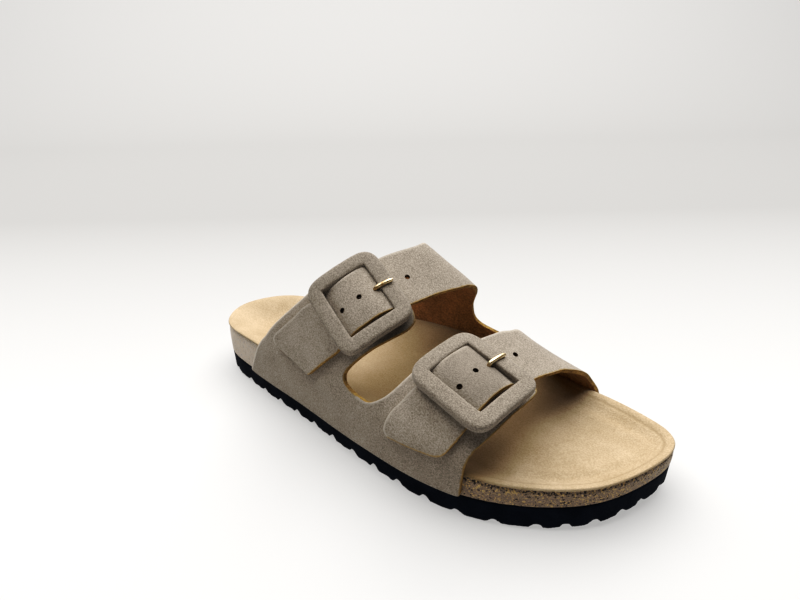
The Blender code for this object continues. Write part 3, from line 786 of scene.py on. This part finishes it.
# %% Patterns of the upper
OUTER_SEAM, OUTER_CUT_V = 141, 0.174    # where the two ears part, along the foot and around it
BACK_EAR = (
    # rear x and v, front x and v, lift
    (44, 0, OUTER_SEAM, 0, 0),
    (49.5, 0.07, OUTER_SEAM, 0.07, 0),
    (55.5, 0.14, OUTER_SEAM, 0.14, 0),
    (64, OUTER_CUT_V, OUTER_SEAM, OUTER_CUT_V, 0),
    (64.4, 0.1755, 136.5, 0.1755, 0),
    (66, 0.183, 132, 0.183, 0),
    (69.5, 0.198, 131, 0.198, 0),
    (75, 0.218, 133, 0.218, 0),
    (82.7, 0.246, 137, 0.246, 0),
    (91.8, 0.284, 142.5, 0.284, 0),
    (101, 0.33, 149.3, 0.33, 0),
    (109, 0.37, 154.1, 0.372, 0),
    (113, 0.39, 154.6, 0.392, 0),
    (119, 0.402, 151.3, 0.407, 0),
)
FRONT_EAR = (
    (OUTER_SEAM, 0, 201, 0, 0),
    (OUTER_SEAM, 0.07, 201.4, 0.07, 0),
    (OUTER_SEAM, 0.14, 202, 0.14, 0),
    (OUTER_SEAM, OUTER_CUT_V, 202.4, OUTER_CUT_V, 0),
    (146, 0.1755, 202.4, 0.1755, 0),
    (150, 0.183, 202.6, 0.183, 0),
    (153.6, 0.198, 203, 0.198, 0),
    (157.2, 0.218, 203.7, 0.218, 0),
    (160.7, 0.246, 205.2, 0.246, 0),
    (164, 0.284, 207.5, 0.284, 0),
    (167.5, 0.33, 209.4, 0.33, 0),
    (170.8, 0.38, 211.1, 0.38, 0),
    (174, 0.43, 213.2, 0.436, 0),
    (175.6, 0.452, 213.2, 0.456, 0),
    (179, 0.462, 210.4, 0.468, 0),
)
ON_EAR = 2.9                            # a strap's tip lies on its ear
INNER_SEAM, INNER_CUT_V = 168, 0.847    # where the two straps part
BACK_STRAP = (
    (58, 1, INNER_SEAM, 1, 0),
    (64, 0.94, INNER_SEAM, 0.94, 0),
    (71.5, 0.88, INNER_SEAM, 0.88, 0),
    (81, INNER_CUT_V, INNER_SEAM, INNER_CUT_V, 0),
    (82.6, 0.842, 157.5, 0.842, 0),
    (86, 0.83, 152.3, 0.83, 0),
    (91.5, 0.812, 151, 0.812, 0),
    (98, 0.79, 151.2, 0.79, 0),
    (106.5, 0.76, 153, 0.76, 0),
    (116, 0.72, 156, 0.72, 0),
    (127.5, 0.66, 159, 0.66, 0),
    (133.5, 0.6, 160.3, 0.6, 0),
    (134.2, 0.548, 159.7, 0.548, 0),
    (132, 0.51, 157.3, 0.51, 0),
    (128.4, 0.472, 154.4, 0.472, 0.4),
    (124.3, 0.432, 151.2, 0.43, 1.5),
    (121.5, 0.395, 147.2, 0.39, 2.9),
    (116.6, 0.35, 141.6, 0.343, 5.6),
    (110.2, 0.313, 136.5, 0.3, 5.6),
    (98, 0.276, 129.5, 0.255, 4.4),
    (90, 0.243, 123.5, 0.222, 2.8),
    (82.5, 0.215, 116.5, 0.191, ON_EAR),
    (77.2, 0.196, 111, 0.167, ON_EAR),
    (75.6, 0.184, 108.8, 0.158, ON_EAR),
    (78, 0.1735, 107.4, 0.1535, ON_EAR),
)
FRONT_STRAP = (
    (INNER_SEAM, 1, 225, 1, 0),
    (INNER_SEAM, 0.94, 224.5, 0.94, 0),
    (INNER_SEAM, 0.88, 223, 0.88, 0),
    (INNER_SEAM, INNER_CUT_V, 221.2, INNER_CUT_V, 0),
    (178, 0.842, 221, 0.842, 0),
    (182, 0.83, 220.4, 0.83, 0),
    (183.8, 0.812, 219.8, 0.812, 0),
    (185, 0.785, 219.4, 0.79, 0),
    (186.4, 0.75, 219.3, 0.76, 0),
    (187.5, 0.71, 219.3, 0.72, 0),
    (188.3, 0.66, 218.8, 0.66, 0),
    (188.5, 0.6, 217.6, 0.6, 0.6),
    (188, 0.55, 214.8, 0.55, 0.9),
    (185.5, 0.525, 212.6, 0.522, 1),
    (183.4, 0.492, 209.8, 0.488, 1.4),
    (181, 0.455, 207.6, 0.45, 1.7),
    (179.8, 0.41, 205.4, 0.405, 3),
    (177.6, 0.36, 202.8, 0.355, 5.4),
    (174.6, 0.315, 201.1, 0.312, 5.2),
    (170.6, 0.272, 198.4, 0.272, 4),
    (167.6, 0.237, 197, 0.239, 2.6),
    (164.6, 0.204, 196, 0.22, ON_EAR),
    (162.8, 0.172, 195, 0.205, ON_EAR),
    (162.6, 0.154, 193.4, 0.186, ON_EAR),
    (165, 0.142, 190.6, 0.174, ON_EAR),
)
print("patterns:", len(BACK_EAR) + len(FRONT_EAR), "rows for the ears,",
      len(BACK_STRAP) + len(FRONT_STRAP), "rows for the straps")

# %% [markdown]
# ## Creases
# Suede that has been bent keeps soft troughs and ridges. Each crease is a line between two places on the
# last with a height and a width, and it lifts or lowers the sheet on both sides of that line with a bell
# curve that is strongest halfway along.

# %% Creases
CREASES = (
    # start x and v, end x and v, height, half width
    (96, 0.13, 122, 0.075, -0.7, 5.0),
    (112, 0.15, 136, 0.11, 0.5, 5.5),
    (152, 0.155, 176, 0.10, -0.5, 5.0),
    (74, 0.19, 92, 0.26, 0.5, 4.5),
    (150, 0.56, 156, 0.66, 0.5, 5.0),
    (204, 0.53, 208, 0.64, -0.4, 5.0),
    (86, 0.84, 118, 0.80, -0.6, 6.0),
)
CREASE_ENDS = 0.15      # share of a half wave left out at each end


def crease_lift(x, v):
    """Sum of the creases at places on the last."""
    points = last_section(x, v)
    lift = np.zeros_like(x)
    for x0, v0, x1, v1, height, half_width in CREASES:
        start = last_section(np.array(float(x0)), np.array(float(v0)))
        run = last_section(np.array(float(x1)), np.array(float(v1))) - start
        t = np.clip((points - start) @ run / (run @ run), 0, 1)
        off = np.linalg.norm(points - start - t[..., None] * run, axis=-1)
        wave = np.sin(math.pi * (CREASE_ENDS + (1 - 2 * CREASE_ENDS) * t))
        lift = lift + height * np.exp(-(off / half_width) ** 2) * wave
    return lift


print("creases:", len(CREASES))

# %% [markdown]
# ## Where the buckles sit
# Each buckle has its own axes on the last: towards the toes, along the strap and out from the foot. The
# strap needs them before the frames do, because inside a frame's window it swells up like a small pillow.

# %% Buckle axes
BUCKLES = (
    # name, x and v of the middle, seat above the last, turn, pitch and roll in degrees, place of the pin
    ("back", 129.4, 0.343, 9.2, 32.5, 5.5, 9, 0.4),
    ("front", 190.7, 0.372, 9.7, 13.4, -7.5, 8.5, 0.2),
)
SPAN_X, SPAN_V = 4.0, 0.02  # stretch of the last that buckles and punches take their direction from


def buckle_pose(x, v, seat, turn, pitch, roll):
    """Axes of a buckle: x towards the toes, y along the strap and z out from the foot."""
    x, v = np.array(float(x)), np.array(float(v))
    out = Vector(last_normal(x, v, SPAN_X, SPAN_V))
    across = Vector(last_section(x, v + SPAN_V) - last_section(x, v - SPAN_V))
    across = (across - out * across.dot(out)).normalized()
    axes = Matrix((across.cross(out), across, out)).transposed().to_4x4()
    tilt = Matrix.Rotation(math.radians(pitch), 4, "Y") @ Matrix.Rotation(math.radians(-roll), 4, "X")
    turned = Matrix.Rotation(math.radians(-turn), 4, "Z")
    return Matrix.Translation(Vector(to_frame(last(x, v, seat)))) @ axes @ tilt @ turned


POSES = {name: buckle_pose(*pose) for name, *pose, _ in BUCKLES}
PILLOWS = {"back": (3.5, 0.0), "front": (4.9, 0.13)}    # lift in the middle, slope towards the toes
PILLOW_HALF, PILLOW_END = 13.1, 8                       # half length along the strap, how steeply it ends
PILLOW_CROWN = 0.0026                                   # fall towards both edges of the strap
WINDOW_REACH = 17.0                                     # half the window's length along the foot


def pillow(bm):
    """Swell the strap inside the buckle windows."""
    for name, (height, slope) in PILLOWS.items():
        to_buckle = POSES[name].inverted()
        out = POSES[name].to_3x3() @ Vector((0, 0, 1))
        for vert in bm.verts:
            toes, along, up = (to_buckle @ vert.co) / MM
            if abs(along) < PILLOW_HALF and abs(toes) < WINDOW_REACH and abs(up) < PILLOW_HALF:
                swell = 1 - (along / PILLOW_HALF) ** PILLOW_END
                vert.co += out * (height + slope * toes - PILLOW_CROWN * toes**2) * swell * MM


print("buckles at", [[round(c, 3) for c in pose.translation] for pose in POSES.values()])

# %% [markdown]
# ## Sewing the sides
# A panel is a grid laid on the last. Two panels are welded under their cut-out, thickened with Solidify and
# smoothed with a subdivision surface. Solidify can give the inside and the rim their own materials, which
# makes lining and cut edge for nothing, and it can crease the rim so that the edge stays crisp. Before that
# each vertex stores its distances to the edges, the window and the bars, for the suede's bands to read.

# %% Panels and their distances
STEPS_PER_ROW = 3
SEAM_ROW = 3            # up to this row the two panels of a side are one
EDGE_SAMPLES = 400


def strap_place(table, along, across):
    """Places on the last, and lifts, for shares along and across a panel."""
    rows = np.array(table, float)
    at = np.asarray(along) * (len(rows) - 1)
    rear_x, rear_v, front_x, front_v, lift = (smooth(at, np.arange(len(rows)), c) for c in rows.T)
    return rear_x + across * (front_x - rear_x), rear_v + across * (front_v - rear_v), lift


def add_panel(bm, table, columns):
    verts, across, along = add_grid(bm, columns, (len(table) - 1) * STEPS_PER_ROW)
    x, v, lift = strap_place(table, along, across)
    lay(verts, last(x, v, lift + crease_lift(x, v)))


def border(table, first_row, across=None):
    """Points along one edge of a panel, or along its end."""
    share = np.linspace(0, 1, EDGE_SAMPLES)
    first = first_row / (len(table) - 1)
    along = first + share * (1 - first)
    if across is None:
        along, across = np.ones_like(share), share
    x, v, lift = strap_place(table, along, across)
    return to_frame(last(x, v, lift + crease_lift(x, v)))


def mark_distance(bm, name, lines):
    """Give each vertex its distance to some lines in millimetres, for the suede to read."""
    layer = bm.verts.layers.float.new(name)
    points = np.vstack(lines)
    for vert in bm.verts:
        vert[layer] = float(np.linalg.norm(points - np.array(vert.co), axis=1).min() / MM)


print("the back strap ends at", border(BACK_STRAP, 0)[0].round(3), "in the frame")

# %% Sides of the upper
STRAP_WALL = 2.2
EAR_COLUMNS, STRAP_COLUMNS = 13, 10
EDGE_CREASE = 0.75
SIDE_LEVELS = 2
FRONT_BAR, BAR_SHADE = 21.0, 16.0   # from a frame's middle to its front bar, half the length in its shade
BAR_SAMPLES = 40
FAR_AWAY = [(0, 0, 1)]              # a metre up, too far to shade anything


def make_side(name, tables, columns, shaded_by, is_straps):
    side_bm = bmesh.new()
    for table in tables:
        add_panel(side_bm, table, columns)
    bmesh.ops.remove_doubles(side_bm, verts=side_bm.verts, dist=WELD)
    rear_panel, front_panel = tables
    mark_distance(side_bm, TO_FRONT_EDGE, (
        border(rear_panel, SEAM_ROW, 1), border(front_panel, 0, 1), border(front_panel, 0)))
    mark_distance(side_bm, TO_REAR_EDGE, (border(rear_panel, 0, 0), border(front_panel, SEAM_ROW, 0)))
    mark_distance(side_bm, TO_WINDOW, [POSES["front"].translation])
    mark_distance(side_bm, TO_BAR, shaded_by)
    if is_straps:
        bmesh.ops.reverse_faces(side_bm, faces=side_bm.faces)
        pillow(side_bm)
    side = new_piece(name, side_bm, [TAUPE, LINING, CUT_EDGE], ["upper"])
    shell = side.modifiers.new("wall", "SOLIDIFY")
    shell.thickness = STRAP_WALL * MM
    shell.offset = 1.0
    shell.use_even_offset = True
    shell.material_offset = 1
    shell.material_offset_rim = 2
    shell.edge_crease_outer = shell.edge_crease_inner = EDGE_CREASE
    soft = side.modifiers.new("soft", "SUBSURF")
    soft.levels = soft.render_levels = SIDE_LEVELS
    apply_modifiers(side)
    report(side)
    return side


# points along the frames' front bars; the ears get painted shade near them
under_bars = [pose @ Vector((FRONT_BAR * MM, along * MM, 0)) for pose in POSES.values()
              for along in np.linspace(-BAR_SHADE, BAR_SHADE, BAR_SAMPLES)]
make_side("outer_side", (BACK_EAR, FRONT_EAR), EAR_COLUMNS, under_bars, False)
inner_side = make_side("inner_side", (BACK_STRAP, FRONT_STRAP), STRAP_COLUMNS, FAR_AWAY, True)

# %% [markdown]
# ## Punched holes
# The strap holes are really punched: a cylinder for each, standing on the last, and one Boolean cut. A
# hole's place is a row of its strap's pattern and a share of the way across. The cut walls take a
# near-black suede, which paints the shade inside the holes.

# %% Strap holes
HOLE_RADIUS, HOLE_DEPTH, HOLE_LIFT, HOLE_SIDES = 1.3, 20.0, 4.0, 20
HOLES = (
    # strap, then row and share across of each hole
    (BACK_STRAP, (17.85, 0.54), (16.92, 0.52), (16.2, 0.53), (14.5, 0.54)),
    (FRONT_STRAP, (17.52, 0.50), (16.53, 0.45), (15.75, 0.50), (13.8, 0.48)),
)


def add_punch(bm, table, row, across):
    x, v = strap_place(table, np.array(row / (len(table) - 1)), across)[:2]
    out = Vector(last_normal(x, v, SPAN_X, SPAN_V))
    stand = Vector((0, 0, 1)).rotation_difference(out).to_matrix().to_4x4()
    at = Matrix.Translation(Vector(to_frame(last(x, v, HOLE_LIFT))))
    made = bmesh.ops.create_cone(
        bm, cap_ends=True, segments=HOLE_SIDES, radius1=HOLE_RADIUS * MM, radius2=HOLE_RADIUS * MM,
        depth=HOLE_DEPTH * MM, matrix=at @ stand)
    for face in {face for vert in made["verts"] for face in vert.link_faces}:
        face.material_index = len(inner_side.data.materials) - 1


# near-black suede for the hole walls, painted shade
inner_side.data.materials.append(SHADED_HOLE_WALL)
punch_bm = bmesh.new()
for strap, *holes in HOLES:
    for row, across in holes:
        add_punch(punch_bm, strap, row, across)
punches = new_object("punches", punch_bm, [])
cut = inner_side.modifiers.new("holes", "BOOLEAN")
cut.operation = "DIFFERENCE"
cut.object = punches
cut.material_mode = "INDEX"
bpy.context.view_layer.update()
apply_modifiers(inner_side)
inner_side.data.set_sharp_from_angle(angle=SHARP_ANGLE)
bpy.data.objects.remove(punches)
report(inner_side)

# %% [markdown]
# ## Buckle frames
# A frame is a rounded rectangle with a padded section under its suede. A circle is spun into a ring, and its
# vertices are then pushed onto a superellipse outline with a superellipse section, bent over the foot.

# %% Buckle frames
FRAME_ACROSS, FRAME_ALONG = 39.5, 44.5      # along the strap and along the foot
BAR_WIDTH, BAR_THICK = 7.6, 4.6
FRAME_BEND_RADIUS = 80.0
FRAME_CORNER, BAR_CORNER = 9, 4.4           # superellipse exponents of outline and section
FRAME_SIDES, BAR_SIDES = 200, 28
RING_RADIUS = 2.0                           # the ring before it is pushed into shape
HALF_ACROSS, HALF_ALONG = (FRAME_ACROSS - BAR_WIDTH) / 2, (FRAME_ALONG - BAR_WIDTH) / 2


def frame_height(across):
    return -across * across / (2 * FRAME_BEND_RADIUS)


def power(value, exponent):
    return math.copysign(abs(value) ** exponent, value)


def make_frame(name, pose, node):
    frame_bm = bmesh.new()
    upright = Matrix.Translation((RING_RADIUS, 0, 0)) @ Matrix.Rotation(math.pi / 2, 4, "X")
    bmesh.ops.create_circle(frame_bm, segments=BAR_SIDES, radius=1.0, matrix=upright)
    bmesh.ops.spin(
        frame_bm, geom=frame_bm.verts[:] + frame_bm.edges[:], cent=(0, 0, 0), axis=(0, 0, 1),
        angle=2 * math.pi, steps=FRAME_SIDES, use_merge=True)
    for vert in frame_bm.verts:
        around = math.atan2(vert.co.y, vert.co.x)
        section = Vector((vert.co.xy.length - RING_RADIUS, vert.co.z)).normalized()
        out = power(section.x, 2 / BAR_CORNER) * BAR_WIDTH / 2
        up = power(section.y, 2 / BAR_CORNER) * BAR_THICK / 2
        middle = Vector((power(math.cos(around), 2 / FRAME_CORNER) * HALF_ALONG,
                         power(math.sin(around), 2 / FRAME_CORNER) * HALF_ACROSS))
        slope = Vector((power(middle.x / HALF_ALONG, FRAME_CORNER - 1) / HALF_ALONG,
                        power(middle.y / HALF_ACROSS, FRAME_CORNER - 1) / HALF_ACROSS))
        x, y = middle + slope.normalized() * out
        vert.co = pose @ (Vector((x, y, up + frame_height(y))) * MM)
    bmesh.ops.recalc_face_normals(frame_bm, faces=frame_bm.faces)
    made = new_piece(name, frame_bm, [SHADED_FRAME_TAUPE], [node])
    report(made)


for name, pose in POSES.items():
    make_frame(f"{name}_buckle_frame", pose, f"buckle_{name}_frame")

# %% [markdown]
# ## Pins
# A pin is a bent brass wire that comes up through a strap hole and lies over the inner bar, leaning a little
# towards the toes. A curve with a round bevel makes it, thinner at the tip, and it becomes a mesh so that
# its place is in its vertices.

# %% Pins
PIN_RADIUS = 1.0
PIN_SIDES, PIN_STEPS, PIN_ORDER = 6, 6, 3   # fineness round and along the wire, and order of its curve
PIN_OVER = BAR_THICK / 2 + PIN_RADIUS
PIN_LEAN = 0.09         # towards the toes, for each millimetre along the strap
PIN_PATH = (
    # from the middle of the inner bar, height over the frame's middle, share of the radius
    (-7.0, -3.2, 1.0), (-6.7, 0.0, 1.0), (-6.2, 1.9, 1.0), (-4.4, PIN_OVER - 0.6, 1.0),
    (-0.5, PIN_OVER, 1.0), (2.6, PIN_OVER, 0.95), (3.2, PIN_OVER, 0.55),
)


def make_pin(name, pose, offset, node):
    curve = bpy.data.curves.new(name, "CURVE")
    curve.dimensions = "3D"
    curve.bevel_depth = PIN_RADIUS * MM
    curve.bevel_resolution = PIN_SIDES
    curve.use_fill_caps = True
    spline = curve.splines.new("NURBS")
    spline.points.add(len(PIN_PATH) - 1)
    spline.order_u = PIN_ORDER
    spline.use_endpoint_u = True
    spline.resolution_u = PIN_STEPS
    for point, (from_bar, up, share) in zip(spline.points, PIN_PATH):
        toes = offset + PIN_LEAN * (from_bar - PIN_PATH[0][0])
        across = HALF_ACROSS + from_bar
        point.co = (toes * MM, across * MM, (up + frame_height(across)) * MM, 1)
        point.radius = share
    wire = bpy.data.objects.new(name + "_wire", curve)
    bpy.context.scene.collection.objects.link(wire)
    bpy.context.view_layer.update()
    graph = bpy.context.evaluated_depsgraph_get()
    pin_bm = bmesh.new()
    pin_bm.from_mesh(bpy.data.meshes.new_from_object(wire.evaluated_get(graph)))
    bpy.data.objects.remove(wire)
    bmesh.ops.remove_doubles(pin_bm, verts=pin_bm.verts, dist=WELD)
    bmesh.ops.transform(pin_bm, matrix=pose, verts=pin_bm.verts)
    bmesh.ops.recalc_face_normals(pin_bm, faces=pin_bm.faces)
    made = new_piece(name, pin_bm, [BRASS], [node])
    made.data.set_sharp_from_angle(angle=SHARP_ANGLE)
    report(made)


for name, *_, pin_place in BUCKLES:
    make_pin(f"{name}_buckle_pin", POSES[name], pin_place, f"buckle_{name}_pin")

# %% [markdown]
# ## Studio
# The picture is a pale product shot: a white sweep with soft shadows close to the shoe. A sweep is one
# sheet, extruded from a bent line, so that no corner shows. It glows faintly by itself, which keeps the
# floor white where the light falls off, and its tone is deeper behind the shoe, where the light is
# strongest.

# %% Sweep
SWEEP_NEAR, SWEEP_FAR, SWEEP_HIGH, SWEEP_HALF = -2.0, 1.6, 2.2, 3.0
SWEEP_BEND, SWEEP_STEPS = 0.7, 16
PALE_FLOOR, PALEST_FLOOR, FLOOR_NOISE = (0.285, 0.282, 0.277, 1), (0.300, 0.297, 0.292, 1), 3.0
FLOOR_TONES = (
    # metres behind the shoe where a tone starts and where it is full, tone
    (0.0, 0.4, (0.125, 0.121, 0.115)),
    (0.9, 1.6, (0.235, 0.230, 0.224)),
)

away = Vector((-back.x, -back.y, 0)).normalized()
FLOOR, floor_tree = new_material(
    "white_sweep", Roughness=0.9, Specular_IOR_Level=0.1, Emission_Color=(1.0, 0.99, 0.975, 1),
    Emission_Strength=0.44)
floor_place = place_of(floor_tree)
behind = add_node(floor_tree, "ShaderNodeVectorMath", {0: floor_place, 1: away}, operation="DOT_PRODUCT")
floor_colour = blend(floor_tree, noise(floor_tree, floor_place, FLOOR_NOISE), PALE_FLOOR, PALEST_FLOOR)
for start, full, tone in FLOOR_TONES:
    floor_share = span(floor_tree, behind.outputs["Value"], start, full)
    floor_colour = blend(floor_tree, floor_share, floor_colour, (*tone, 1))
finish(FLOOR, Base_Color=floor_colour)

sweep_bm = bmesh.new()
line = [sweep_bm.verts.new((-SWEEP_HALF, y, z)) for y, z in (
    (SWEEP_NEAR, 0), (SWEEP_FAR, 0), (SWEEP_FAR, SWEEP_HIGH))]
for pair in zip(line, line[1:]):
    sweep_bm.edges.new(pair)
bmesh.ops.bevel(sweep_bm, geom=[line[1]], offset=SWEEP_BEND, affect="VERTICES", segments=SWEEP_STEPS,
                profile=0.5, material=-1)
drawn = bmesh.ops.extrude_edge_only(sweep_bm, edges=sweep_bm.edges[:])["geom"]
bmesh.ops.translate(sweep_bm, vec=(2 * SWEEP_HALF, 0, 0),
                    verts=[item for item in drawn if isinstance(item, bmesh.types.BMVert)])
bmesh.ops.rotate(sweep_bm, cent=(0, 0, 0), matrix=Matrix.Rotation(AZIMUTH, 3, "Z"), verts=sweep_bm.verts)
bmesh.ops.recalc_face_normals(sweep_bm, faces=sweep_bm.faces)
sweep = new_object("sweep", sweep_bm, [FLOOR])
sweep.data.shade_smooth()
report(sweep)

# %% [markdown]
# ## Light and tone
# One wide area lamp overhead gives the light. It is many times as wide as the shoe is long, so no shadow
# has a hard edge. The world adds almost nothing. A tone curve then deepens the darks, as a camera does.

# %% Light, world and tone curve
LAMP_AT = (-0.05, 0.50, 1.5)    # metres along the camera's right, away from it and up
LAMP_SIZE, LAMP_WATTS = 2.4, 90.0
WORLD_STRENGTH = 0.02
ALL_CHANNELS = 3                # the tone curve that works on red, green and blue together
DEEPER_DARKS = ((0.08, 0.045), (0.2, 0.165), (0.45, 0.43))      # brightness before and after

light = bpy.data.lights.new("top", "AREA")
light.size = LAMP_SIZE
light.energy = LAMP_WATTS
lamp = bpy.data.objects.new("top", light)
lamp_right, lamp_away, lamp_height = LAMP_AT
lamp.location = level * lamp_right + away * lamp_away + Vector((0, 0, lamp_height))
lamp.rotation_mode = "QUATERNION"
lamp.rotation_quaternion = (-lamp.location).to_track_quat("-Z", "Y")
bpy.context.scene.collection.objects.link(lamp)

world = bpy.data.worlds.new("world")
bpy.context.scene.world = world
world.use_nodes = True
world_light = world.node_tree.nodes["Background"].inputs
world_light["Color"].default_value = (1.0, 1.0, 1.0, 1)
world_light["Strength"].default_value = WORLD_STRENGTH
view = bpy.context.scene.view_settings
view.view_transform = "Standard"
view.use_curve_mapping = True
for before_and_after in DEEPER_DARKS:
    view.curve_mapping.curves[ALL_CHANNELS].points.new(*before_and_after)
view.curve_mapping.update()
print("lamp at", [round(c, 2) for c in lamp.location])
